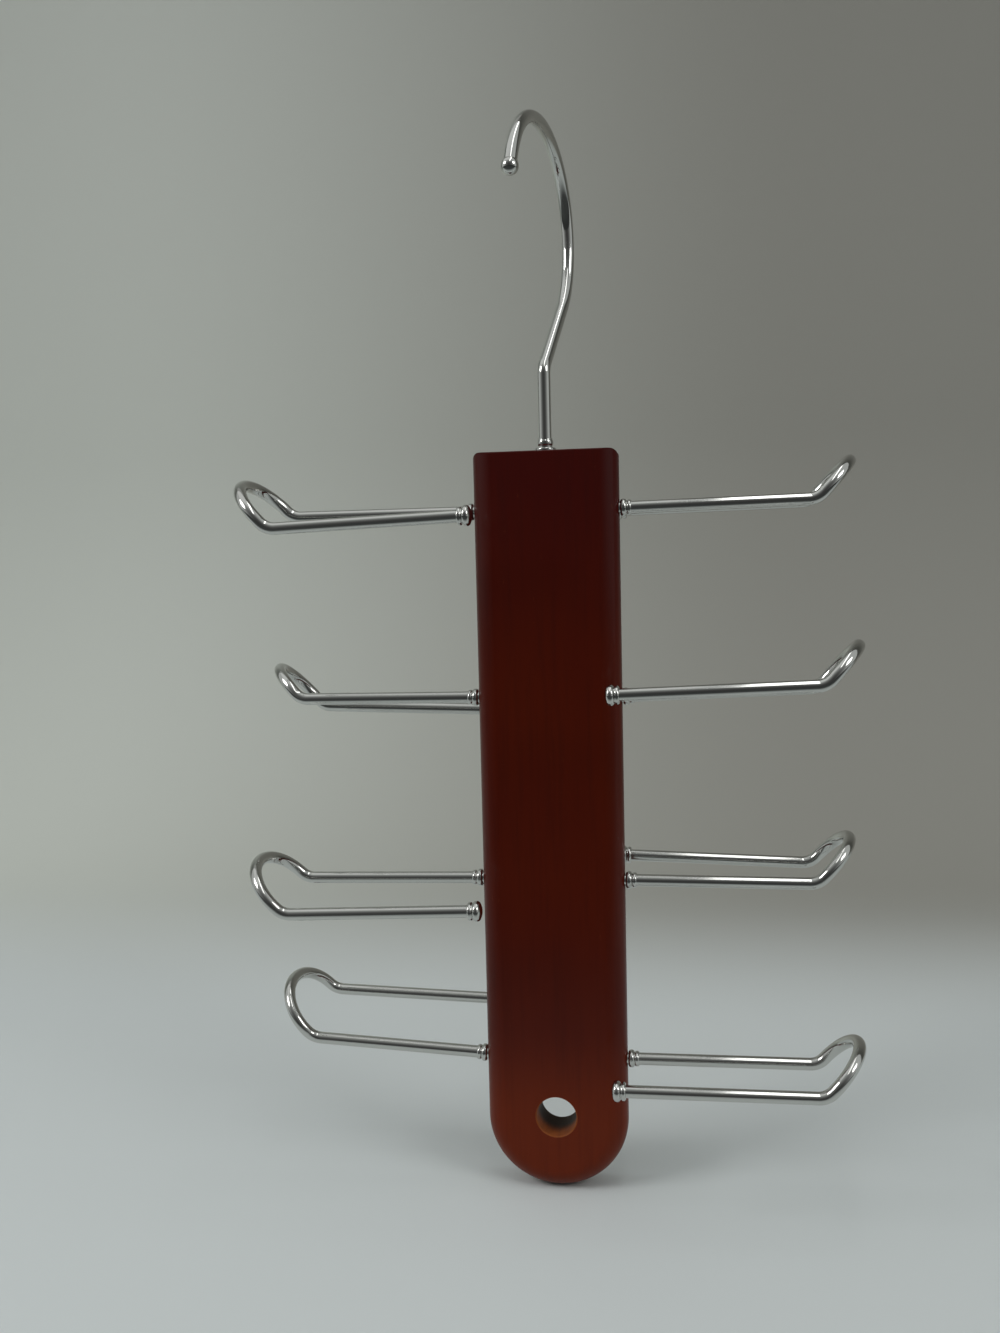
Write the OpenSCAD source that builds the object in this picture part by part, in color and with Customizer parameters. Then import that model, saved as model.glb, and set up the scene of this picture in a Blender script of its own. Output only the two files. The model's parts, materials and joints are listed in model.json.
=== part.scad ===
// Tie hanger: a flat wooden board with a swivelling wire hook and eight
// hairpin wire arms, four on each side. Each arm is held by one leg in a
// hole in the board's edge; its other leg is free and ends in a cap beside
// the board, so a tie slides on from the board's side.
// Millimetres. +Z is up, the front faces -Y. The origin is where the rail
// touches the inside of the hook, so the board hangs below it.

/* [Board] */
// Width of the board
board_w = 45; // [40:1:60]
// Height of the board, from its top to its round end
board_h = 234; // [228:1:290]
// Thickness of the board
board_t = 14; // [12:0.5:18]
// Radius of the rounded long edges and of the round end's edges
edge_r = 6.5; // [3:0.5:6.5]
// Radius of the two top corners, seen from the front
corner_r = 2.5; // [1:0.5:6]
// Radius that eases the top's front and back edges
top_ease_r = 0.8; // [0.4:0.1:3]

/* [Hang hole] */
// Diameter of the hole near the round end
hole_d = 12.8; // [8:0.2:18]
// Height of the hole's centre above the round end
hole_up = 24.5; // [22:0.5:28]
// Chamfer on both rims of the hole
hole_chamfer = 0.3; // [0.2:0.1:1]

/* [Arms] */
// Distance from the board's top down to the first pair of arms
first_level = 17.8; // [14:0.1:22]
// Distance between one pair of arms and the next
level_pitch = 58.1; // [50:0.1:60]
// Diameter of the arm wire
arm_wire_d = 3.8; // [3:0.1:4.6]
// Distance between the centres of an arm's two legs
leg_gap = 26; // [22:0.5:34]
// Length of a leg outside the board, to the corner of its bend
arm_reach = 59; // [45:1:90]
// Angle by which the closed end is bent up
rise_angle = 47; // [25:1:65]
// Straight length of the closed end between its bend and its round tip
rise_run = 0.1; // [0.1:0.1:12]
// Centreline radius of the bends that lift the closed end
rise_bend_r = 6; // [4:0.5:9]
// Depth of the fixed leg in the board
leg_depth = 16; // [10:0.5:17]
// Radial clearance of the fixed leg in its hole
leg_clearance = 0.05; // [0.03:0.01:0.09]
// Room left past the end of the fixed leg
leg_end_room = 1; // [0.5:0.25:2]
// Length by which the free leg's cap reaches over the board
cap_overlap = 3.6; // [1:0.2:8]
// Turn of the left arms about their fixed legs, from the top down
left_turns = [9, -12, 10.5, 17]; // [-60:0.5:60]
// Turn of the right arms about their fixed legs, from the top down
right_turns = [0.5, -7.5, 0, -2]; // [-60:0.5:60]
// Tilt of the left arms' holes, upwards away from the board
left_tilts = [0, -0.3, -1.1, 2.7]; // [-4:0.1:4]
// Tilt of the right arms' holes, upwards away from the board
right_tilts = [0.9, 2.2, -0.1, 0.6]; // [-4:0.1:4]
// Slant of the left arms' free legs, upwards towards the cap
left_slants = [2.1, -1.7, 1.3, 1.4]; // [-4:0.1:4]
// Slant of the right arms' free legs, upwards towards the cap
right_slants = [0, 0, 1.5, 0]; // [-4:0.1:4]

/* [Collars and caps] */
// Height by which a collar's large ridge stands over the wire
collar_rise = 0.85; // [0.6:0.05:1.5]
// Width of a collar's large ridge
collar_w = 1.9; // [1.4:0.1:2.6]
// Width of the small ridge beside it, on a collar or a cap
ring_w = 1.5; // [1:0.1:2]
// Step in radius from the large ridge down to the small one
ring_step = 0.35; // [0.2:0.05:0.5]
// Share of a ridge's width that its round rim takes up
rim_roundness = 0.85; // [0.4:0.05:0.95]
// Wall of the sleeve under the ridges of a collar, a cap or the stem's bead
sleeve_wall = 0.25; // [0.2:0.05:0.5]
// Gap between a collar and the wood, so that the arm can turn
collar_gap = 0.25; // [0.15:0.05:0.5]
// Height by which a cap's large ridge stands over the wire
cap_rise = 1.2; // [0.9:0.1:2]
// Width of a cap's large ridge
cap_w = 2.9; // [2.2:0.1:3.6]
// Thickness of a cap's closed end
cap_end = 1.2; // [0.8:0.1:1.6]
// Radius of the dome on a cap's closed end
dome_r = 5.2; // [4:0.1:9]

/* [Hook] */
// Diameter of the hook wire
hook_wire_d = 4; // [3:0.1:4.6]
// Centreline radius of the hook's round
hook_r = 30; // [24:0.5:38]
// Height of the straight stem above the board
stem_h = 23.4; // [16:0.2:40]
// Angle by which the wire leans back above the stem
lean_angle = 45; // [35:1:55]
// Centreline radius of the bend above the stem
lean_bend_r = 5; // [4:0.5:9]
// Angle swept by the hook's round
hook_sweep = 203; // [180:1:225]
// Direction in which the hook's tip points, about the stem
hook_turn = -100; // [-180:1:180]
// Diameter of the ball on the hook's tip
ball_d = 5.2; // [5:0.1:8]

/* [Swivel] */
// Length of the bush below its flange
bush_l = 12; // [8:0.5:12.5]
// Wall of the bush
bush_wall = 0.75; // [0.7:0.05:1.2]
// Radial clearance of the stem in the bush
stem_clearance = 0.06; // [0.03:0.01:0.09]
// Height by which the flange stands over the bush
flange_rise = 0.5; // [0.3:0.1:1.5]
// Thickness of the flange
flange_h = 1.1; // [0.8:0.1:1.5]
// Height and width of the cone that eases the flange's rim
flange_ease = 0.4; // [0.2:0.1:0.7]
// Height by which the stem's upset head stands over the stem
head_rise = 0.55; // [0.4:0.05:0.65]
// Height of the upset head
head_h = 1.8; // [1:0.1:2]
// Height of the bead that is fixed on the stem
bead_h = 2.6; // [1.6:0.1:4]
// Height by which the bead stands over the stem
bead_rise = 0.5; // [0.4:0.1:1.5]
// End play of the stem between its bead and its head
stem_play = 0.25; // [0.15:0.05:0.5]
// Room below the head at the bottom of its bore
head_room = 0.6; // [0.3:0.1:1]

/* [Hidden] */

$fn = 64;
left = -1;
right = 1;
front = -1;
back = 1;

// Bends are thinner than straight wire by this radius, and straight wire
// reaches this far into a bend
bend_thinning = 0.03;
bend_lap = 0.05;

// Radius of the rounded edges, kept under half the thickness
edge = min(edge_r, board_t / 2 - 0.5);
hook_wire_r = hook_wire_d / 2;
arm_wire_r = arm_wire_d / 2;

// The lean's straight length brings the hook's round onto the stem's axis
lean_run = (hook_r * cos(lean_angle) - lean_bend_r * (1 - cos(lean_angle)))
    / sin(lean_angle);
// Heights above the board's top
round_centre_up = stem_h + lean_bend_r * sin(lean_angle)
    + lean_run * cos(lean_angle) + hook_r * sin(lean_angle);
seat_up = round_centre_up + hook_r - hook_wire_r;

// Heights in the part's own frame, whose zero is the rail seat
top_z = -seat_up;
end_z = top_z - board_h;
round_z = end_z + board_w / 2;
hole_z = end_z + hole_up;
function level_z(i) = top_z - first_level - (i - 1) * level_pitch;

// The free legs lie in front and behind in turn, and the other way round on
// the opposite side, so that the load stays balanced
function free_side(side, i) = side * (i % 2 == 1 ? back : front);
function arm_turn(side, i) = side == left ? left_turns[i - 1] : right_turns[i - 1];
function arm_tilt(side, i) = side == left ? left_tilts[i - 1] : right_tilts[i - 1];
function leg_slant(side, i) = side == left ? left_slants[i - 1] : right_slants[i - 1];

// Swivel sizes, from the stem outwards
bush_bore_r = hook_wire_r + stem_clearance;
bush_r = bush_bore_r + bush_wall;
flange_r = bush_r + flange_rise;
head_r = hook_wire_r + head_rise;
head_up = -bush_l - stem_play;
swivel_bore_depth = bush_l + stem_play + head_h + head_room;
bead_z = top_z + flange_h + stem_play;

// Arm sizes along the leg
bend_set_back = rise_bend_r * tan(rise_angle / 2);
leg_run = arm_reach - bend_set_back;
collar_r = arm_wire_r + collar_rise;
cap_r = arm_wire_r + cap_rise;

// Rounded rectangle with its centre at the origin
module rounded_rect(w, h, r) {
    square([w - 2 * r, h], center = true);
    square([w, h - 2 * r], center = true);
    for (x = [-1, 1], y = [-1, 1])
        translate([x * (w / 2 - r), y * (h / 2 - r)]) circle(r);
}

// One half of the board's section, for turning the round end
module half_section() {
    intersection() {
        rounded_rect(board_w, board_t, edge);
        translate([0, -board_t]) square([board_w, 2 * board_t]);
    }
}

// Straight wire from the origin along +Z. Each end that meets a bend reaches
// a hair into it.
module rod(r, l) {
    cylinder(r = r, h = l);
}

module rod_to_bend(r, l) {
    rod(r, l + bend_lap);
}

module rod_between_bends(r, l) {
    translate([0, 0, -bend_lap]) rod(r, l + 2 * bend_lap);
}

// Wire bent in the XZ plane about the origin, from +X towards +Z. It is drawn
// a hair thinner than the straight wire, as bent wire is.
module bent_wire(wire_r, bend_r, angle) {
    rotate([90, 0, 0]) rotate_extrude(angle = angle)
        translate([bend_r, 0]) circle(wire_r - bend_thinning);
}

// Board: straight part with eased top, round end, and all its holes
module board() {
    color("#5a1710") difference() {
        union() {
            board_straight();
            translate([0, 0, round_z]) rotate([90, 0, 0])
                rotate([0, 0, 180]) rotate_extrude(angle = 180) half_section();
        }
        hang_hole();
        swivel_bore();
        for (side = [left, right], i = [1:4]) leg_hole(side, i);
    }
}

module board_straight() {
    straight_h = top_z - round_z;
    intersection() {
        translate([0, 0, round_z]) linear_extrude(straight_h)
            rounded_rect(board_w, board_t, edge);
        // front outline, for the two top corners
        translate([0, board_t, top_z - board_h / 2]) rotate([90, 0, 0])
            linear_extrude(2 * board_t) rounded_rect(board_w, board_h, corner_r);
        // side outline, for the eased top edges
        translate([-board_w, 0, top_z - board_h / 2]) rotate([90, 0, 90])
            linear_extrude(2 * board_w) rounded_rect(board_t, board_h, top_ease_r);
    }
}

module hang_hole() {
    translate([0, 0, hole_z]) rotate([90, 0, 0]) {
        cylinder(d = hole_d, h = board_t + 2, center = true);
        for (s = [-1, 1]) mirror([0, 0, s > 0 ? 1 : 0])
            translate([0, 0, board_t / 2 - hole_chamfer])
                cylinder(d1 = hole_d, d2 = hole_d + 4 * hole_chamfer, h = 2 * hole_chamfer);
    }
}

module swivel_bore() {
    translate([0, 0, top_z - swivel_bore_depth])
        cylinder(r = bush_r, h = swivel_bore_depth + 1);
}

module leg_hole(side, i) {
    at_arm(side, i) translate([1, 0, 0]) rotate([0, -90, 0])
        cylinder(r = arm_wire_r + leg_clearance, h = leg_depth + leg_end_room + 1);
}

// Bush pressed into the top of the board, with a flange that lies on the wood
module swivel_bush() {
    color("#c9cbcd") difference() {
        union() {
            translate([0, 0, top_z - bush_l]) cylinder(r = bush_r, h = bush_l);
            translate([0, 0, top_z]) cylinder(r = flange_r, h = flange_h - flange_ease);
            translate([0, 0, top_z + flange_h - flange_ease])
                cylinder(r1 = flange_r, r2 = flange_r - flange_ease, h = flange_ease);
        }
        translate([0, 0, top_z - bush_l - 1]) cylinder(r = bush_bore_r, h = bush_l + flange_h + 2);
    }
}

// Hook wire: upset head, stem, lean, round and the short end under the ball
module hook() {
    color("#d5d8db") in_hook_plane() union() {
        translate([0, 0, head_up - head_h]) cylinder(r = head_r, h = head_h);
        translate([0, 0, head_up - head_h / 2])
            rod_to_bend(hook_wire_r, stem_h - head_up + head_h / 2);
        at_stem_end() {
            bend_back(lean_bend_r, lean_angle);
            past_bend(lean_bend_r, lean_angle)
                rod_between_bends(hook_wire_r, lean_run);
        }
        at_round() bend_over(hook_r, hook_sweep);
        at_tip() translate([0, 0, ball_d / 2]) mirror([0, 0, 1])
            rod_to_bend(hook_wire_r, ball_d / 2);
    }
}

// Each frame below starts where the wire before it ends, with +Z along it
module in_hook_plane() {
    translate([0, 0, top_z]) rotate([0, 0, hook_turn]) children();
}

module at_stem_end() {
    translate([0, 0, stem_h]) children();
}

module at_round() {
    at_stem_end() past_bend(lean_bend_r, lean_angle)
        translate([0, 0, lean_run]) children();
}

module at_tip() {
    at_round() translate([hook_r, 0, 0]) rotate([0, hook_sweep, 0])
        translate([-hook_r, 0, 0]) children();
}

// Bends of the hook wire: away from its tip, and over towards it
module bend_back(bend_r, angle) {
    translate([-bend_r, 0, 0]) bent_wire(hook_wire_r, bend_r, angle);
}

module bend_over(bend_r, angle) {
    translate([bend_r, 0, 0]) mirror([1, 0, 0]) bent_wire(hook_wire_r, bend_r, angle);
}

module past_bend(bend_r, angle) {
    translate([-bend_r, 0, 0]) rotate([0, -angle, 0])
        translate([bend_r, 0, 0]) children();
}

module hook_ball() {
    color("#d5d8db") in_hook_plane() at_tip() difference() {
        translate([0, 0, ball_d / 2]) sphere(d = ball_d);
        translate([0, 0, -1]) rod(hook_wire_r, ball_d / 2 + 1);
    }
}

// Round bead fixed on the stem just above the flange
module stem_bead() {
    color("#d5d8db") translate([0, 0, bead_z]) difference() {
        rotate_extrude() {
            square([hook_wire_r + sleeve_wall, bead_h]);
            ridge_profile(hook_wire_r + bead_rise, bead_h);
        }
        translate([0, 0, -1]) rod(hook_wire_r, bead_h + 2);
    }
}

// Section of a ridge with a rounded rim, from the axis outwards
module ridge_profile(outer_r, w) {
    rim_r = rim_roundness * w / 2;
    square([outer_r - rim_r, w]);
    translate([0, rim_r]) square([outer_r, w - 2 * rim_r]);
    for (z = [rim_r, w - rim_r]) translate([outer_r - rim_r, z]) circle(rim_r);
}

// Frame of one arm: the origin is on the board's side at the fixed leg, +X
// points away from the board and the free leg lies towards +Y
module at_arm(side, i) {
    translate([side * board_w / 2, 0, level_z(i)])
        rotate([arm_turn(side, i), -side * arm_tilt(side, i), 0])
            mirror([side == left ? 1 : 0, 0, 0])
                mirror([0, free_side(side, i) == front ? 1 : 0, 0]) children();
}

// Frame of a free leg inside its arm's frame. It slants about the centre of
// the bend that lifts the closed end, so the bend takes up the slant.
module at_free_leg(side, i) {
    translate([leg_run, leg_gap, rise_bend_r]) rotate([0, leg_slant(side, i), 0])
        translate([-leg_run, 0, -rise_bend_r]) children();
}

// Straight leg up to its bend, and the bend up into the closed end
module leg(start_x, bend_angle) {
    translate([start_x, 0, 0]) rotate([0, 90, 0])
        rod_to_bend(arm_wire_r, leg_run - start_x);
    translate([leg_run, 0, rise_bend_r]) rotate([0, 90, 0])
        bent_wire(arm_wire_r, rise_bend_r, bend_angle);
}

// Closed end, lifted by the rise angle: two short runs and the round tip
module closed_end() {
    translate([leg_run, 0, rise_bend_r]) rotate([0, -rise_angle, 0])
        translate([0, 0, -rise_bend_r]) {
            for (y = [0, leg_gap]) translate([0, y, 0]) rotate([0, 90, 0])
                rod_between_bends(arm_wire_r, rise_run);
            translate([rise_run, leg_gap / 2, 0]) rotate([0, 0, -90])
                rotate_extrude(angle = 180)
                    translate([leg_gap / 2, 0]) circle(arm_wire_r - bend_thinning);
        }
}

// Hairpin wire: the fixed leg in the board, the closed end and the free leg
module arm(side, i) {
    color("#d5d8db") at_arm(side, i) union() {
        leg(-leg_depth, rise_angle);
        closed_end();
        at_free_leg(side, i)
            leg(cap_end - cap_overlap, rise_angle + leg_slant(side, i));
    }
}

// Two-ridge collar on the fixed leg, next to the wood
module collar(side, i) {
    color("#d5d8db") at_arm(side, i) translate([collar_gap, 0, 0]) rotate([0, 90, 0])
        difference() {
            rotate_extrude() {
                square([arm_wire_r + sleeve_wall, collar_w + ring_w]);
                ridge_profile(collar_r, collar_w);
                translate([0, collar_w]) ridge_profile(collar_r - ring_step, ring_w);
            }
            translate([0, 0, -1]) rod(arm_wire_r, collar_w + ring_w + 2);
        }
}

// Domed two-ridge cap on the end of the free leg
module cap(side, i) {
    color("#d5d8db") at_arm(side, i) at_free_leg(side, i)
        translate([-cap_overlap, 0, 0]) rotate([0, 90, 0]) difference() {
            rotate_extrude() cap_profile();
            translate([0, 0, cap_end]) rod(arm_wire_r, cap_w + ring_w);
        }
}

module cap_profile() {
    intersection() {
        union() {
            square([arm_wire_r + sleeve_wall, cap_w + ring_w]);
            ridge_profile(cap_r, cap_w);
            translate([0, cap_w]) ridge_profile(cap_r - ring_step, ring_w);
        }
        translate([0, dome_r]) circle(dome_r);
        square([cap_r, cap_w + ring_w]);
    }
}

board();
swivel_bush();
hook();
hook_ball();
stem_bead();
for (i = [1:4]) {
    arm(left, i);
    arm(right, i);
    collar(left, i);
    collar(right, i);
    cap(left, i);
    cap(right, i);
}
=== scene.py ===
import json
from math import asin, cos, pi, radians, sin, tan

import bmesh
import bpy
from mathutils import Matrix, Vector


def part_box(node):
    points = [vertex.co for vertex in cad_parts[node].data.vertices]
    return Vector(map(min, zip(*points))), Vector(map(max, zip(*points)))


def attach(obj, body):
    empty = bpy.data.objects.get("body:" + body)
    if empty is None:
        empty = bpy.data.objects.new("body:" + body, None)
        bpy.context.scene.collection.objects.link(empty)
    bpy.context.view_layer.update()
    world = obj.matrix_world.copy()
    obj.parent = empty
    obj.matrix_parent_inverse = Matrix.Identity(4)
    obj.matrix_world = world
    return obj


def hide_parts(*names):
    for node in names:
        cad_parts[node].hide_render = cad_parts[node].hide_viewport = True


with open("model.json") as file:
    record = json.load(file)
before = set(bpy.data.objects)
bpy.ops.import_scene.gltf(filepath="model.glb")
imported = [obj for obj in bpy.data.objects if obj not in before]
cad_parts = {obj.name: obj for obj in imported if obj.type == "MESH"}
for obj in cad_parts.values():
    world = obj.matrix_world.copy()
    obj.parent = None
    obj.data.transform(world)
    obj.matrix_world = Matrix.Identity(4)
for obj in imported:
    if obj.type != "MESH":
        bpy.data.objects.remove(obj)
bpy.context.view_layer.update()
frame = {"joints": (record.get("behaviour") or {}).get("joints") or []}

# Everything below is in metres. The origin is the rail seat inside the hook,
# +Z is up and the board's front faces -Y.
MM = 0.001

# Board
board_low, board_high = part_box("board")
BOARD_W = board_high.x - board_low.x
BOARD_T = board_high.y - board_low.y
BOARD_TOP = board_high.z
BOARD_END = board_low.z
EDGE_R = 6.5 * MM
CORNER_R = 2.5 * MM
TOP_EASE_R = 0.8 * MM
HANG_HOLE_UP = 24.5 * MM
HANG_HOLE_R = 6.4 * MM
HOLE_CHAMFER = 0.3 * MM

# Arms
ARM_WIRE_R = 1.9 * MM
LEG_GAP = 26 * MM
ARM_REACH = 59 * MM
RISE_ANGLE = radians(47)
RISE_RUN = 0.1 * MM
RISE_BEND_R = 6 * MM
SET_BACK = RISE_BEND_R * tan(RISE_ANGLE / 2)
LEG_RUN = ARM_REACH - SET_BACK
LEG_DEPTH = 16 * MM
LEG_HOLE_R = ARM_WIRE_R + 0.05 * MM
LEG_HOLE_DEPTH = LEG_DEPTH + 1 * MM
CAP_OVERLAP = 3.6 * MM
CAP_END = 1.2 * MM
# Slant of each free leg in degrees, upwards towards its cap, from the top down
LEG_SLANTS = {"left": (2.1, -1.7, 1.3, 1.4), "right": (0, 0, 1.5, 0)}

# Collars, caps and bead
COLLAR_R = ARM_WIRE_R + 0.85 * MM
COLLAR_W = 1.9 * MM
COLLAR_GAP = 0.25 * MM
SLEEVE_WALL = 0.25 * MM
CAP_R = ARM_WIRE_R + 1.2 * MM
CAP_W = 2.9 * MM
CAP_DOME_R = 5.2 * MM
CAP_RIM_R = 1.1 * MM
CAP_GROOVE = 0.65 * MM
RING_W = 1.5 * MM
RING_STEP = 0.35 * MM
RIM_ROUNDNESS = 0.85

# Hook and swivel
HOOK_WIRE_R = 2 * MM
HOOK_R = 30 * MM
STEM_H = 23.4 * MM
LEAN_ANGLE = radians(45)
LEAN_BEND_R = 5 * MM
HOOK_SWEEP = radians(203)
HOOK_TURN = radians(-100)
BALL_R = 2.6 * MM
BUSH_L = 12 * MM
BUSH_BORE_R = HOOK_WIRE_R + 0.06 * MM
BUSH_R = BUSH_BORE_R + 0.75 * MM
FLANGE_R = BUSH_R + 0.5 * MM
FLANGE_H = 1.1 * MM
FLANGE_EASE = 0.4 * MM
STEM_PLAY = 0.25 * MM
HEAD_R = HOOK_WIRE_R + 0.55 * MM
HEAD_H = 1.8 * MM
HEAD_EASE = 0.3 * MM
HEAD_ROOM = 0.6 * MM
BEAD_R = HOOK_WIRE_R + 0.5 * MM
BEAD_H = 2.6 * MM

# Fineness of the meshes
TUBE_SIDES = 40
TURNED_SIDES = 56
BEND_STEPS = 14
ROUND_STEPS = 72
EDGE_STEPS = 20
CORNER_STEPS = 12
BALL_STEPS = 28
RIM_STEPS = 8
FLANGE_STEPS = 6
SWEEP_STEPS = 24
SHARP_ANGLE = radians(32)
WIRE_SHARP_ANGLE = radians(50)

# Room that the board's cutters need to cut cleanly
CUT_PAST = 1 * MM
OUTLINE_SPARE = 0.02 * MM
OUTLINE_BELOW = 20 * MM
BLANK_ABOVE = 5 * MM
WELD_GAP = 0.001 * MM


class Amount:
    """A number that varies over a surface. Arithmetic on it adds Math nodes."""

    def __init__(self, graph, socket):
        self.graph = graph
        self.socket = socket

    def math(self, operation, *values):
        return self.graph.node("ShaderNodeMath", {"operation": operation}, *values)

    def __add__(self, other):
        return self.math("ADD", self, other)

    def __radd__(self, other):
        return self.math("ADD", other, self)

    def __sub__(self, other):
        return self.math("SUBTRACT", self, other)

    def __rsub__(self, other):
        return self.math("SUBTRACT", other, self)

    def __mul__(self, other):
        return self.math("MULTIPLY", self, other)

    def __rmul__(self, other):
        return self.math("MULTIPLY", other, self)

    def greater_of(self, other):
        return self.math("MAXIMUM", self, other)


class Graph:
    """A node tree, with one way to add a node to it."""

    def __init__(self, tree):
        self.tree = tree

    def node(self, kind, settings=None, *values, out=0, **named):
        """Adds a node: its settings first, then its sockets' values or links."""
        made = self.tree.nodes.new(kind)
        for key, value in (settings or {}).items():
            setattr(made, key, value)
        sockets = dict(enumerate(values))
        sockets.update((key.replace("_", " "), value) for key, value in named.items())
        for key, value in sockets.items():
            self.feed(made.inputs[key], value)
        return Amount(self, made.outputs[out])

    def feed(self, socket, value):
        if isinstance(value, Amount):
            self.tree.links.new(value.socket, socket)
        else:
            socket.default_value = value


class Shading(Graph):
    """The nodes of a material or of the world."""

    def part(self, where, axis):
        """A place's distance along one axis."""
        return self.node("ShaderNodeSeparateXYZ", None, where, out=axis)

    def camera_ray(self):
        return self.node("ShaderNodeLightPath", out="Is Camera Ray")

    def noise(self, where, scale, detail, roughness=0.55):
        return self.node("ShaderNodeTexNoise", None, Vector=where, Scale=scale,
                         Detail=detail, Roughness=roughness)

    def fade(self, amount, low, high, to_low=0.0, to_high=1.0):
        """Follows an amount from low to high, smoothly, and stays level outside."""
        settings = {"interpolation_type": "SMOOTHSTEP"}
        return self.node("ShaderNodeMapRange", settings, amount, low, high, to_low, to_high)

    def mix(self, share, first, second):
        """Mixes two colours, by the mix node's sockets for colours."""
        made = self.node("ShaderNodeMix", {"data_type": "RGBA"}, share, out=2)
        self.feed(made.socket.node.inputs[6], first)
        self.feed(made.socket.node.inputs[7], second)
        return made

    def bump(self, height, strength, distance):
        return self.node("ShaderNodeBump", None, Height=height, Strength=strength,
                         Distance=distance, out="Normal")


class Finish(Shading):
    """A material for one surface, built on the Principled shader."""

    def __init__(self, name, **constants):
        self.material = bpy.data.materials.new(name)
        self.material.use_nodes = True
        super().__init__(self.material.node_tree)
        self.shader = self.tree.nodes["Principled BSDF"]
        self.shade(**constants)

    def place(self, stretch=(1, 1, 1)):
        where = self.node("ShaderNodeTexCoord", out="Object")
        return self.node("ShaderNodeMapping", None, where, Scale=stretch)

    def shade(self, **inputs):
        for key, value in inputs.items():
            self.feed(self.shader.inputs[key.replace("_", " ")], value)
        return self.material


def colour(red, green, blue):
    """A colour given as the screen shows it, in 0 to 255."""
    def linear(value):
        share = value / 255
        return share / 12.92 if share <= 0.04045 else ((share + 0.055) / 1.055) ** 2.4
    return (linear(red), linear(green), linear(blue), 1)


# Finishes

STAIN_DARK = colour(68, 9, 4)
STAIN_WARM = colour(90, 24, 0)
PAINTED_FLOOR_LIGHT = colour(106, 33, 0)
GRAIN_STREAK = colour(40, 6, 3)
PALE_FLECK = colour(150, 80, 46)
END_GRAIN_DARK = colour(110, 52, 18)
END_GRAIN_PALE = colour(158, 86, 36)
HOLE_PAINTED_SHADE = colour(66, 42, 26)
CHROME_TINT = (0.61, 0.61, 0.585, 1)
CHROME_HAZE = (0.38, 0.39, 0.38, 1)
BUSH_TINT = (0.52, 0.52, 0.50, 1)

# The stain grows warmer down from the board's top; near its round end a painted light,
# standing for the pale floor's light on the wood, makes it brighter and more orange
WARM_BELOW = BOARD_TOP - 80 * MM
FLOOR_LIGHT_START = BOARD_END + 55 * MM
FLOOR_LIGHT_FULL = BOARD_END + 20 * MM
# What makes it warmer, and the share of streaks and flecks in it
WARMTH_OF_HEIGHT = 0.55
WARMTH_OF_FIGURE = 0.4
WARMTH_OF_CLOUDS = 0.4
WARMTH_LOST = 0.35
STREAK_SHARE = 0.18
FLECK_SHARE = 0.10
# Painted shade darkens the hang hole's wall towards its back face
HOLE_SHADE_FROM = -BOARD_T * 0.25
HOLE_SHADE_TO = BOARD_T * 0.1
# Share of fine specks and of handling haze on the plating
SPECK_SHARE = 0.15
HAZE_SHARE = 0.10
# Roughness of each surface, and what its grain, haze and specks add to it
LACQUER_ROUGHNESS, LACQUER_GRAIN = 0.42, 0.14
END_GRAIN_ROUGHNESS, END_GRAIN_GRAIN = 0.5, 0.15
CHROME_ROUGHNESS, CHROME_HAZING, CHROME_SPECKING = 0.05, 0.08, 0.06
# How much of the lacquer's ripple follows the grain, and how much is broad
RIPPLE_OF_GRAIN = 0.3
RIPPLE_OF_CLOUDS = 0.7


def stained_wood():
    """Dark cherry stain under semi-gloss lacquer, warmer lower down, with painted floor
    light near the round end.
    """
    finish = Finish("cherry stained wood", Specular_IOR_Level=0.1, Coat_Weight=0.4,
                    Coat_Roughness=0.15, Coat_IOR=1.3)
    where = finish.place()
    height = finish.part(where, "Z")
    grain = finish.noise(finish.place(stretch=(1, 1, 0.05)), scale=520, detail=6.0,
                         roughness=0.6)
    figure = finish.noise(finish.place(stretch=(1, 1, 0.14)), scale=70, detail=3.0)
    flecks = finish.noise(finish.place(stretch=(1, 1, 0.3)), scale=900, detail=2.0)
    clouds = finish.noise(where, scale=24, detail=2.0)

    warmth = finish.fade(height, BOARD_TOP, WARM_BELOW) * WARMTH_OF_HEIGHT
    warmth = warmth + figure * WARMTH_OF_FIGURE + clouds * WARMTH_OF_CLOUDS - WARMTH_LOST
    # Painted light: the pale floor's light on the wood, lightening it near the round end
    floor_light = finish.fade(height, FLOOR_LIGHT_START, FLOOR_LIGHT_FULL)
    streaks = finish.fade(grain, low=0.45, high=0.7) * STREAK_SHARE
    flecks = finish.fade(flecks, low=0.72, high=0.80) * FLECK_SHARE

    base = finish.mix(warmth, STAIN_DARK, STAIN_WARM)
    base = finish.mix(floor_light, base, PAINTED_FLOOR_LIGHT)
    base = finish.mix(streaks, base, GRAIN_STREAK)
    base = finish.mix(flecks, base, PALE_FLECK)
    ripple = grain * RIPPLE_OF_GRAIN + clouds * RIPPLE_OF_CLOUDS
    roughness = LACQUER_ROUGHNESS + grain * LACQUER_GRAIN
    return finish.shade(Base_Color=base, Roughness=roughness,
                        Normal=finish.bump(ripple, strength=0.08, distance=0.4 * MM))


def bare_wood():
    """The hang hole's wall, where the stain is thin over end grain, with painted shade
    towards the back.
    """
    finish = Finish("thinly stained end grain", Specular_IOR_Level=0.2)
    grain = finish.noise(finish.place(stretch=(1, 0.15, 1)), scale=700, detail=4.0)
    depth = finish.part(finish.place(), "Y")
    base = finish.mix(grain, END_GRAIN_DARK, END_GRAIN_PALE)
    # Painted shade: the hole's wall is darker deeper in, towards the back face
    base = finish.mix(finish.fade(depth, HOLE_SHADE_FROM, HOLE_SHADE_TO), base, HOLE_PAINTED_SHADE)
    roughness = END_GRAIN_ROUGHNESS + grain * END_GRAIN_GRAIN
    return finish.shade(Base_Color=base, Roughness=roughness,
                        Normal=finish.bump(grain, strength=0.15, distance=0.2 * MM))


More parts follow.
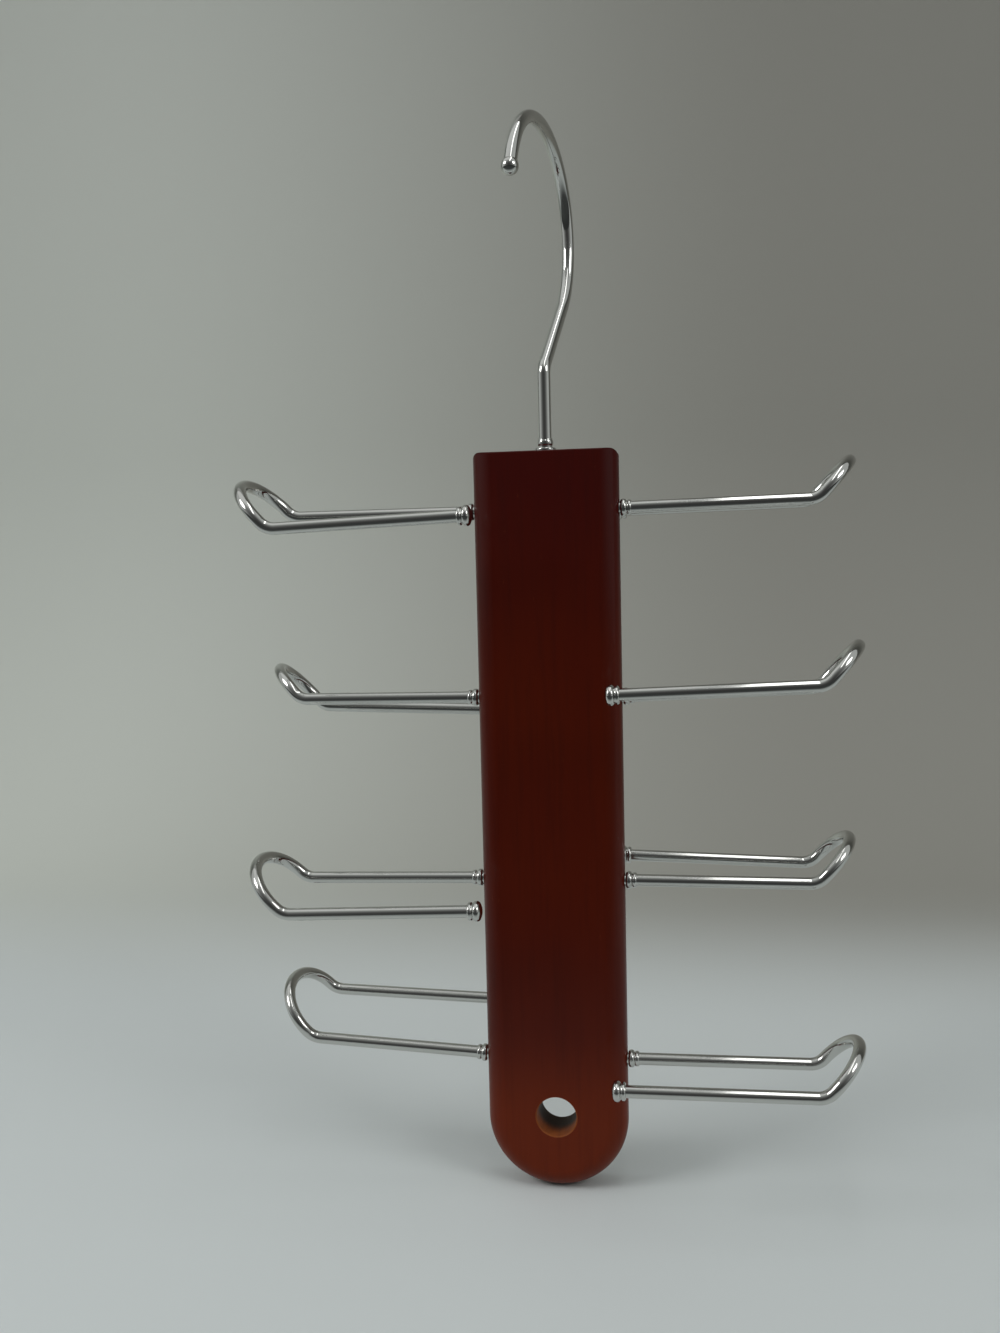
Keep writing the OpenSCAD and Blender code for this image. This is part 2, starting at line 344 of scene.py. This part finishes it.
def chrome(name, tint=CHROME_TINT):
    """Bright plating with faint handling haze."""
    finish = Finish(name, Metallic=1.0)
    where = finish.place()
    haze = finish.noise(where, scale=160, detail=3.0)
    specks = finish.noise(where, scale=1500, detail=2.0)
    specks = finish.fade(specks, low=0.62, high=0.74)
    dulled = specks * SPECK_SHARE + haze * HAZE_SHARE
    roughness = CHROME_ROUGHNESS + haze * CHROME_HAZING + specks * CHROME_SPECKING
    base = finish.mix(dulled, tint, CHROME_HAZE)
    return finish.shade(Base_Color=base, Roughness=roughness,
                        Normal=finish.bump(haze, strength=0.04, distance=0.1 * MM))


WOOD = stained_wood()
HOLE_WALL = bare_wood()
WIRE_CHROME = chrome("chromed wire")
FITTING_CHROME = chrome("chromed collars and caps")
BUSH_METAL = chrome("plated bush", BUSH_TINT)


# Shapes that several pieces share


def as_mesh(name, shape, material):
    mesh = bpy.data.meshes.new(name)
    shape.to_mesh(mesh)
    shape.free()
    mesh.materials.append(material)
    return mesh


def put_in_scene(name, data):
    made = bpy.data.objects.new(name, data)
    bpy.context.scene.collection.objects.link(made)
    return made


def shade_smooth(mesh, sharp_angle):
    mesh.set_sharp_from_angle(angle=sharp_angle)
    for face in mesh.polygons:
        face.use_smooth = True


def stand_in(name, mesh, body, node):
    """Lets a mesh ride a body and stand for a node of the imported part."""
    piece = put_in_scene(name, mesh)
    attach(piece, body)
    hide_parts(node)
    return piece


def to_piece(name, shape, body, node, material):
    mesh = as_mesh(name, shape, material)
    shade_smooth(mesh, SHARP_ANGLE)
    stand_in(name, mesh, body, node)


def arc(centre, radius, start, end, steps):
    """Points on an arc, with its two ends."""
    angles = [start + (end - start) * k / steps for k in range(steps + 1)]
    return [(centre[0] + radius * cos(a), centre[1] + radius * sin(a)) for a in angles]


def wire_tree():
    """Geometry nodes that sweep a round wire along a path."""
    tree = bpy.data.node_groups.new("sweep round wire", "GeometryNodeTree")
    ports = tree.interface
    inputs = {"Path": "Geometry", "Wire radius": "Float", "Sides": "Int",
              "Plating": "Material"}
    for name, kind in inputs.items():
        ports.new_socket(name, in_out="INPUT", socket_type="NodeSocket" + kind)
    ports.new_socket("Wire", in_out="OUTPUT", socket_type="NodeSocketGeometry")
    graph = Graph(tree)
    start, end = tree.nodes.new("NodeGroupInput"), tree.nodes.new("NodeGroupOutput")
    path, radius, sides, plating = (Amount(graph, start.outputs[name]) for name in inputs)
    ring = graph.node("GeometryNodeCurvePrimitiveCircle", Radius=radius, Resolution=sides)
    wire = graph.node("GeometryNodeCurveToMesh", Curve=path, Profile_Curve=ring,
                      Fill_Caps=True)
    wire = graph.node("GeometryNodeSetShadeSmooth", Geometry=wire)
    wire = graph.node("GeometryNodeRealizeInstances", Geometry=wire)
    wire = graph.node("GeometryNodeSetMaterial", Geometry=wire, Material=plating)
    graph.feed(end.inputs["Wire"], wire)
    return tree


WIRE_TREE = wire_tree()


def swept_wire(name, points, radius, plating):
    """Returns the mesh of a wire along points, made by the wire tree."""
    path = bpy.data.curves.new(name + "_path", "CURVE")
    path.dimensions = "3D"
    line = path.splines.new("POLY")
    line.points.add(len(points) - 1)
    for spot, point in zip(line.points, points):
        spot.co = (*point, 1)
    carrier = put_in_scene(name + "_path", path)
    sweep = carrier.modifiers.new("sweep", "NODES")
    sweep.node_group = WIRE_TREE
    settings = {"Wire radius": radius, "Sides": TUBE_SIDES, "Plating": plating}
    for item in WIRE_TREE.interface.items_tree:
        if item.name in settings:
            sweep[item.identifier] = settings[item.name]
    seen = carrier.evaluated_get(bpy.context.evaluated_depsgraph_get())
    mesh = bpy.data.meshes.new_from_object(seen)
    mesh.name = name
    mesh.set_sharp_from_angle(angle=WIRE_SHARP_ANGLE)
    bpy.data.objects.remove(carrier)
    return mesh


def turned(profile, matrix, ring=False):
    """Turns a profile of (radius, height) points about the local Z axis. A ring's
    profile is a closed loop; any other runs from pole to pole."""
    shape = bmesh.new()
    rows = []
    for radius, height in profile:
        count = 1 if radius == 0 else TURNED_SIDES
        angles = [2 * pi * k / TURNED_SIDES for k in range(count)]
        row = [(radius * cos(a), radius * sin(a), height) for a in angles]
        rows.append([shape.verts.new(point) for point in row])
    pairs = list(zip(rows, rows[1:])) + ([(rows[-1], rows[0])] if ring else [])
    for low, high in pairs:
        for k in range(TURNED_SIDES):
            n = (k + 1) % TURNED_SIDES
            corners = [low[k % len(low)], low[n % len(low)],
                       high[n % len(high)], high[k % len(high)]]
            shape.faces.new(list(dict.fromkeys(corners)))
    shape.transform(matrix)
    bmesh.ops.recalc_face_normals(shape, faces=shape.faces)
    return shape


def rod(radius, length, matrix):
    return turned([(0, 0), (radius, 0), (radius, length), (0, length)], matrix)


def ridge(outer_r, start, width):
    """Outline of a ridge with a rounded rim, from its start to its end."""
    rim = RIM_ROUNDNESS * width / 2
    first = arc((outer_r - rim, start + rim), rim, -pi / 2, 0, RIM_STEPS)
    last = arc((outer_r - rim, start + width - rim), rim, 0, pi / 2, RIM_STEPS)
    return first + last


def kept_outside(points, radius):
    """Keeps an outline's points at or above a radius."""
    return [(max(r, radius), h) for r, h in points]


# Arms


class Arm:
    """One hairpin arm: its names, its place, its tilt and its turn, from the packed
    joints. In its frame the origin is on the board's side at the fixed leg."""

    def __init__(self, joint):
        self.body = joint["child"]
        self.side, self.number = self.body.split("_arm_")
        side = -1 if self.side == "left" else 1
        free = side * (1 if int(self.number) % 2 else -1)
        # The joint's range is centred on the level at which both legs lie side by side
        low, high = joint["range_deg"]
        turn = radians(-(low + high) / 2)
        self.matrix = (
            Matrix.Translation(Vector(joint["pos_m"]))
            @ Matrix.Rotation(-asin(joint["axis"][2]), 4, "Y")
            @ Matrix.Rotation(turn, 4, "X")
            @ Matrix.Diagonal((side, free, 1, 1))
        )
        # The free leg slants about the centre of its bend
        self.slant = radians(LEG_SLANTS[self.side][int(self.number) - 1])
        self.free_leg = (
            Matrix.Translation((LEG_RUN, LEG_GAP, RISE_BEND_R))
            @ Matrix.Rotation(self.slant, 4, "Y")
            @ Matrix.Translation((-LEG_RUN, 0, -RISE_BEND_R))
        )

    def fitting(self, kind):
        return f"{self.side}_{kind}_{self.number}"


ARMS = [Arm(joint) for joint in frame["joints"] if "_arm_" in joint["child"]]


def leg_points(start, bend_angle):
    """A straight leg from its start, then its bend, in the leg's own frame."""
    centre = (LEG_RUN, RISE_BEND_R)
    bend = arc(centre, RISE_BEND_R, -pi / 2, bend_angle - pi / 2, BEND_STEPS)
    return [Vector((start, 0, 0))] + [Vector((x, 0, z)) for x, z in bend]


def hairpin_points(arm):
    """The centreline of an arm, from the fixed leg's foot to the free leg's end."""
    fixed = leg_points(-LEG_DEPTH, RISE_ANGLE)
    free = leg_points(CAP_END - CAP_OVERLAP, RISE_ANGLE + arm.slant)
    lifted = Matrix.Translation((ARM_REACH, 0, 0)) @ Matrix.Rotation(-RISE_ANGLE, 4, "Y")
    middle = (SET_BACK + RISE_RUN, LEG_GAP / 2)
    tip = arc(middle, LEG_GAP / 2, -pi / 2, pi / 2, ROUND_STEPS)
    tip = [lifted @ Vector((x, y, 0)) for x, y in tip]
    return fixed + tip + [arm.free_leg @ point for point in reversed(free)]


def collar_profile():
    outline = ridge(COLLAR_R, 0, COLLAR_W) + ridge(COLLAR_R - RING_STEP, COLLAR_W, RING_W)
    outline = kept_outside(outline, ARM_WIRE_R + SLEEVE_WALL)
    return [(ARM_WIRE_R, 0)] + outline + [(ARM_WIRE_R, COLLAR_W + RING_W)]


def cap_profile():
    """A cap from the pole of its dome to the pole at the bottom of its bore. Its rim
    runs smoothly into the dome and goes down to a shallow groove."""
    reach = CAP_DOME_R - CAP_RIM_R
    lean = asin((CAP_R - CAP_RIM_R) / reach)
    dome = arc((0, CAP_DOME_R), CAP_DOME_R, -pi / 2, lean - pi / 2, RIM_STEPS)
    near = (CAP_R - CAP_RIM_R, CAP_DOME_R - reach * cos(lean))
    far = (CAP_R - CAP_RIM_R, CAP_W - CAP_RIM_R)
    rim = arc(near, CAP_RIM_R, lean - pi / 2, 0, RIM_STEPS)[1:]
    rim += arc(far, CAP_RIM_R, 0, pi / 2, RIM_STEPS)
    small = ridge(CAP_R - RING_STEP, CAP_W, RING_W)
    # The groove lies between the last points of the rim and the first of the small ridge
    side = RIM_STEPS // 2 + 1
    groove = kept_outside(rim[-side:] + small[:side], CAP_R - CAP_GROOVE)
    outline = rim[:-side] + groove + small[side:]
    outline = kept_outside(outline, ARM_WIRE_R + SLEEVE_WALL)
    bore = [(ARM_WIRE_R, CAP_W + RING_W), (ARM_WIRE_R, CAP_END), (0, CAP_END)]
    return dome + outline + bore


def make_arm(arm):
    points = [arm.matrix @ point for point in hairpin_points(arm)]
    name = arm.body + "_wire"
    wire = swept_wire(name, points, ARM_WIRE_R, WIRE_CHROME)
    stand_in(name, wire, arm.body, arm.body)

    along = Matrix.Rotation(pi / 2, 4, "Y")
    seat = arm.matrix @ Matrix.Translation((COLLAR_GAP, 0, 0)) @ along
    node = arm.fitting("collar")
    to_piece(node + "_ring", turned(collar_profile(), seat, ring=True), arm.body, node,
             FITTING_CHROME)

    seat = arm.matrix @ arm.free_leg @ Matrix.Translation((-CAP_OVERLAP, 0, 0)) @ along
    node = arm.fitting("cap")
    to_piece(node + "_end", turned(cap_profile(), seat), arm.body, node,
             FITTING_CHROME)


# Hook and swivel

# Frame of the hook: its origin is on the board's top, and the hook lies in its XZ plane
HOOK_PLANE = Matrix.Translation((0, 0, BOARD_TOP)) @ Matrix.Rotation(HOOK_TURN, 4, "Z")


def hook_points():
    """The hook's centreline as (away from the stem, height above the board), from
    its head to the end of its round, and the centre of the ball on its tip."""
    foot = (0, -BUSH_L - STEM_PLAY - HEAD_H / 2)
    bend = arc((-LEAN_BEND_R, STEM_H), LEAN_BEND_R, 0, LEAN_ANGLE, BEND_STEPS)
    bend_width = LEAN_BEND_R * (1 - cos(LEAN_ANGLE))
    lean_run = (HOOK_R * cos(LEAN_ANGLE) - bend_width) / sin(LEAN_ANGLE)
    bend_up = bend[-1][1]
    centre = (0, bend_up + lean_run * cos(LEAN_ANGLE) + HOOK_R * sin(LEAN_ANGLE))
    start = pi + LEAN_ANGLE
    end = start - HOOK_SWEEP
    over = arc(centre, HOOK_R, start, end, ROUND_STEPS)
    x, z = over[-1]
    heading = end - pi / 2
    ball = (x + BALL_R * cos(heading), z + BALL_R * sin(heading))
    return [foot] + bend + over, ball


def make_hook_wire(flat):
    """The hook's wire along its points, with the stem's upset head."""
    points = [HOOK_PLANE @ Vector((x, 0, z)) for x, z in flat]
    wire = swept_wire("hook_wire", points, HOOK_WIRE_R, WIRE_CHROME)
    head_profile = [(0, 0), (HEAD_R - HEAD_EASE, 0), (HEAD_R, HEAD_EASE),
                    (HEAD_R, HEAD_H), (0, HEAD_H)]
    seat = HOOK_PLANE @ Matrix.Translation((0, 0, -BUSH_L - STEM_PLAY - HEAD_H))
    head = as_mesh("stem_head", turned(head_profile, seat), WIRE_CHROME)
    joined = bmesh.new()
    joined.from_mesh(wire)
    joined.from_mesh(head)
    bpy.data.meshes.remove(head)
    to_piece("hook_wire", joined, "hook", "hook", WIRE_CHROME)


def make_hook_ball(x, z):
    half = arc((0, 0), BALL_R, -pi / 2, pi / 2, BALL_STEPS)
    half[0], half[-1] = (0, -BALL_R), (0, BALL_R)
    seat = HOOK_PLANE @ Matrix.Translation((x, 0, z))
    to_piece("hook_ball_end", turned(half, seat), "hook", "hook_ball",
             WIRE_CHROME)


def make_stem_bead():
    bead = kept_outside(ridge(BEAD_R, 0, BEAD_H), HOOK_WIRE_R + SLEEVE_WALL)
    bead = [(HOOK_WIRE_R, 0)] + bead + [(HOOK_WIRE_R, BEAD_H)]
    seat = HOOK_PLANE @ Matrix.Translation((0, 0, FLANGE_H + STEM_PLAY))
    to_piece("stem_bead_ring", turned(bead, seat, ring=True), "hook", "stem_bead",
             FITTING_CHROME)


def make_hook():
    flat, ball = hook_points()
    make_hook_wire(flat + [ball])
    make_hook_ball(*ball)
    make_stem_bead()


def make_bush():
    """The bush in the board's top, with the flange that lies on the wood."""
    ease = (FLANGE_R - FLANGE_EASE, FLANGE_H - FLANGE_EASE)
    bush = [(BUSH_BORE_R, -BUSH_L), (BUSH_R, -BUSH_L), (BUSH_R, 0), (FLANGE_R, 0)]
    bush += arc(ease, FLANGE_EASE, 0, pi / 2, FLANGE_STEPS)
    bush += [(BUSH_BORE_R, FLANGE_H)]
    seat = Matrix.Translation((0, 0, BOARD_TOP))
    to_piece("swivel_bush_turned", turned(bush, seat, ring=True), "board", "swivel_bush",
             BUSH_METAL)


# Board


def half_section():
    """The right half of the board's section, from its front middle to its back middle."""
    x, y = BOARD_W / 2 - EDGE_R, BOARD_T / 2 - EDGE_R
    front = arc((x, -y), EDGE_R, -pi / 2, 0, EDGE_STEPS)
    back = arc((x, y), EDGE_R, 0, pi / 2, EDGE_STEPS)
    return [(0, -BOARD_T / 2)] + front + back + [(0, BOARD_T / 2)]


def board_blank():
    """The board's rounded section with its round end, still square on top."""
    shape = bmesh.new()
    half = half_section()
    centre = BOARD_END + BOARD_W / 2
    above = BOARD_TOP + BLANK_ABOVE
    columns = [[(x, y, above) for x, y in half]]
    for k in range(ROUND_STEPS + 1):
        a = pi * k / ROUND_STEPS
        columns.append([(x * cos(a), y, centre - x * sin(a)) for x, y in half])
    columns.append([(-x, y, above) for x, y in half])
    rows = [[shape.verts.new(point) for point in column] for column in columns]
    for left, right in zip(rows, rows[1:]):
        for k in range(len(half) - 1):
            shape.faces.new([left[k], left[k + 1], right[k + 1], right[k]])
    bmesh.ops.remove_doubles(shape, verts=shape.verts, dist=WELD_GAP)
    rim = [edge for edge in shape.edges if edge.is_boundary]
    bmesh.ops.contextual_create(shape, geom=rim)
    bmesh.ops.dissolve_degenerate(shape, edges=shape.edges, dist=WELD_GAP)
    bmesh.ops.recalc_face_normals(shape, faces=shape.faces)
    return shape


def slab(outline, matrix, depth):
    """A flat outline given a depth to both sides of its plane."""
    shape = bmesh.new()
    face = shape.faces.new([shape.verts.new((x, y, -depth)) for x, y in outline])
    made = bmesh.ops.extrude_face_region(shape, geom=[face])
    moved = [item for item in made["geom"] if isinstance(item, bmesh.types.BMVert)]
    bmesh.ops.translate(shape, verts=moved, vec=(0, 0, 2 * depth))
    shape.transform(matrix)
    bmesh.ops.recalc_face_normals(shape, faces=shape.faces)
    return shape


def top_outline(width, radius):
    """A tall rectangle, seen from its face, with its two top corners rounded."""
    width = width + OUTLINE_SPARE
    x, top, low = width / 2 - radius, BOARD_TOP - radius, BOARD_END - OUTLINE_BELOW
    right = arc((x, top), radius, 0, pi / 2, CORNER_STEPS)
    left = arc((-x, top), radius, pi / 2, pi, CORNER_STEPS)
    return right + left + [(-width / 2, low), (width / 2, low)]


def hang_hole_profile():
    """The hang hole's drill, which widens to a chamfer past both faces."""
    reach, wide = BOARD_T / 2, HANG_HOLE_R + HOLE_CHAMFER + CUT_PAST
    return [(0, -reach - CUT_PAST), (wide, -reach - CUT_PAST),
            (HANG_HOLE_R, -reach + HOLE_CHAMFER), (HANG_HOLE_R, reach - HOLE_CHAMFER),
            (wide, reach + CUT_PAST), (0, reach + CUT_PAST)]


def board_tool(name, shape, material=WOOD):
    return put_in_scene(name, as_mesh(name, shape, material))


def board_tools():
    """What shapes the blank, as (operation, cutter), in order."""
    upright = Matrix.Rotation(pi / 2, 4, "X")
    sideways = Matrix.Rotation(pi / 2, 4, "Z") @ upright
    corners = slab(top_outline(BOARD_W, CORNER_R), upright, 2 * BOARD_T)
    yield "INTERSECT", board_tool("corners", corners)
    easing = slab(top_outline(BOARD_T, TOP_EASE_R), sideways, 2 * BOARD_W)
    yield "INTERSECT", board_tool("easing", easing)

    hole = Matrix.Translation((0, 0, BOARD_END + HANG_HOLE_UP)) @ upright
    hang_drill = turned(hang_hole_profile(), hole)
    yield "DIFFERENCE", board_tool("hang_drill", hang_drill, HOLE_WALL)

    depth = BUSH_L + STEM_PLAY + HEAD_H + HEAD_ROOM
    bore = Matrix.Translation((0, 0, BOARD_TOP - depth))
    yield "DIFFERENCE", board_tool("bush_drill", rod(BUSH_R, depth + CUT_PAST, bore))

    inward = Matrix.Rotation(-pi / 2, 4, "Y")
    for arm in ARMS:
        mouth = arm.matrix @ Matrix.Translation((CUT_PAST, 0, 0)) @ inward
        leg_drill = rod(LEG_HOLE_R, LEG_HOLE_DEPTH + CUT_PAST, mouth)
        yield "DIFFERENCE", board_tool("leg_drill", leg_drill)


def make_board():
    blank = board_tool("board_blank", board_blank())
    tools = list(board_tools())
    for operation, cutter in tools:
        cut = blank.modifiers.new(cutter.name, "BOOLEAN")
        cut.operation, cut.object, cut.solver = operation, cutter, "EXACT"
        cut.material_mode = "TRANSFER"
    seen = blank.evaluated_get(bpy.context.evaluated_depsgraph_get())
    mesh = bpy.data.meshes.new_from_object(seen)
    for spare in [blank] + [cutter for _, cutter in tools]:
        bpy.data.objects.remove(spare)
    shade_smooth(mesh, SHARP_ANGLE)
    board = stand_in("board_wood", mesh, "board", "board")
    even = board.modifiers.new("even normals", "WEIGHTED_NORMAL")
    even.weight, even.keep_sharp = 100, True


# Studio

# The camera, fitted to the photograph's outlines
CAMERA_PLACE = (44.42 * MM, -370.78 * MM, BOARD_TOP - 32.59 * MM)
CAMERA_YAW = 0.1609
CAMERA_PITCH = 0.0893
CAMERA_ROLL = -0.0243
CAMERA_NEAR = 10 * MM
IMAGE_H = 1333
FOCUS_PX = 1198.35
SENSOR_H = 36

# The floor and the backdrop, which are one sheet
FLOOR_Z = BOARD_END - 0.2 * MM
SWEEP_FRONT = -3.0
SWEEP_BACK = 0.60
SWEEP_BEND = 0.30
SWEEP_W = 8.0
SWEEP_H = 2.4
FLOOR_WHITE = colour(216, 222, 222)
WALL_PAINTED_LIGHT = colour(214, 218, 211)
WALL_SHADED_GREY = colour(163, 162, 155)
UNLIT = colour(0, 0, 0)
# Where the wall's painted light fades from pale to grey along X, and the floor turns to
# wall along Y
WALL_LIGHT_TURNS = (-0.45, 0.15)
FLOOR_TURNS = (0.12, 0.36)
# Where along Y the floor turns from unlit to lit, and how lit it is before that
LIT_TURNS = (-0.30, -0.03)
LEAST_LIT = 0.1

# The air, dark towards the front of the object and pale behind it
AIR_DARK = colour(56, 56, 56)
AIR_PALE = colour(188, 191, 190)
AIR_SEEN = colour(150, 152, 147)
AIR_TURNS = (-1.1, -0.2)

# Lamps: name, place, point they face, size and radiance
MIDDLE = (0, 0, (BOARD_TOP + BOARD_END) / 2)
LAMPS = (
    ("ceiling strip", (0.10, -0.22, 0.50), (0.10, -0.22, FLOOR_Z), (0.09, 0.7), 2.5),
    ("ceiling panel", (-0.28, 0.0, 0.55), (-0.28, 0.0, FLOOR_Z), (0.6, 0.7), 0.2),
    ("left softbox", (-0.80, -0.50, 0.45), MIDDLE, (0.4, 0.4), 7),
    ("right softbox", (0.85, -0.50, 0.45), MIDDLE, (0.4, 0.4), 5),
)


def make_camera():
    data = bpy.data.cameras.new("camera")
    data.sensor_fit = "VERTICAL"
    data.sensor_height = SENSOR_H
    data.lens = FOCUS_PX * SENSOR_H / IMAGE_H
    data.clip_start = CAMERA_NEAR
    camera = put_in_scene("camera", data)
    camera.matrix_world = (
        Matrix.Translation(CAMERA_PLACE)
        @ Matrix.Rotation(CAMERA_YAW, 4, "Z")
        @ Matrix.Rotation(pi / 2 - CAMERA_PITCH, 4, "X")
        @ Matrix.Rotation(CAMERA_ROLL, 4, "Z")
    )
    bpy.context.scene.camera = camera


def sweep_finish():
    """White floor and grey wall, with painted light making the wall paler on the left.
    Only the camera sees the floor in front of the object lit, so that its wood and
    wires mirror a dark front."""
    finish = Finish("pale sweep", Roughness=0.9, Specular_IOR_Level=0.1)
    where = finish.place()
    across, back = finish.part(where, "X"), finish.part(where, "Y")
    # Painted light: the wall is paler on the left, nearer the left lamp, and greyer to the
    # right
    wall = finish.mix(finish.fade(across, *WALL_LIGHT_TURNS), WALL_PAINTED_LIGHT, WALL_SHADED_GREY)
    tone = finish.mix(finish.fade(back, *FLOOR_TURNS), FLOOR_WHITE, wall)
    lit = finish.fade(back, *LIT_TURNS, to_low=LEAST_LIT)
    lit = finish.camera_ray().greater_of(lit)
    return finish.shade(Base_Color=finish.mix(lit, UNLIT, tone))


def make_sweep():
    """A floor that curves up into a backdrop."""
    bend = (SWEEP_BACK - SWEEP_BEND, FLOOR_Z + SWEEP_BEND)
    line = [(SWEEP_FRONT, FLOOR_Z)]
    line += arc(bend, SWEEP_BEND, -pi / 2, 0, SWEEP_STEPS)
    line += [(SWEEP_BACK, FLOOR_Z + SWEEP_H)]
    shape = bmesh.new()
    left, right = ([shape.verts.new((x, y, z)) for y, z in line]
                   for x in (-SWEEP_W / 2, SWEEP_W / 2))
    for k in range(len(line) - 1):
        shape.faces.new([left[k], right[k], right[k + 1], left[k + 1]])
    for face in shape.faces:
        face.smooth = True
    sweep = put_in_scene("sweep", as_mesh("sweep", shape, sweep_finish()))


def make_lamp(name, place, aim, size, radiance):
    """A softbox: a rectangle that shines evenly with the given radiance."""
    data = bpy.data.lights.new(name, "AREA")
    data.shape = "RECTANGLE"
    data.size, data.size_y = size
    data.energy = radiance * pi * size[0] * size[1]
    lamp = put_in_scene(name, data)
    lamp.location = place
    lamp.rotation_euler = (Vector(aim) - Vector(place)).to_track_quat("-Z", "Y").to_euler()


def make_air():
    """Soft light from all round, but dark in front. The camera sees an even grey."""
    world = bpy.data.worlds.new("studio air")
    world.use_nodes = True
    bpy.context.scene.world = world
    air = Shading(world.node_tree)
    away = air.part(air.node("ShaderNodeTexCoord", out="Generated"), "Y")
    sky = air.mix(air.fade(away, *AIR_TURNS), AIR_DARK, AIR_PALE)
    sky = air.mix(air.camera_ray(), sky, AIR_SEEN)
    air.feed(air.tree.nodes["Background"].inputs["Color"], sky)


make_camera()
make_sweep()
make_air()
for lamp in LAMPS:
    make_lamp(*lamp)
bpy.context.scene.view_settings.view_transform = "Standard"
make_board()
make_hook()
make_bush()
for hairpin in ARMS:
    make_arm(hairpin)
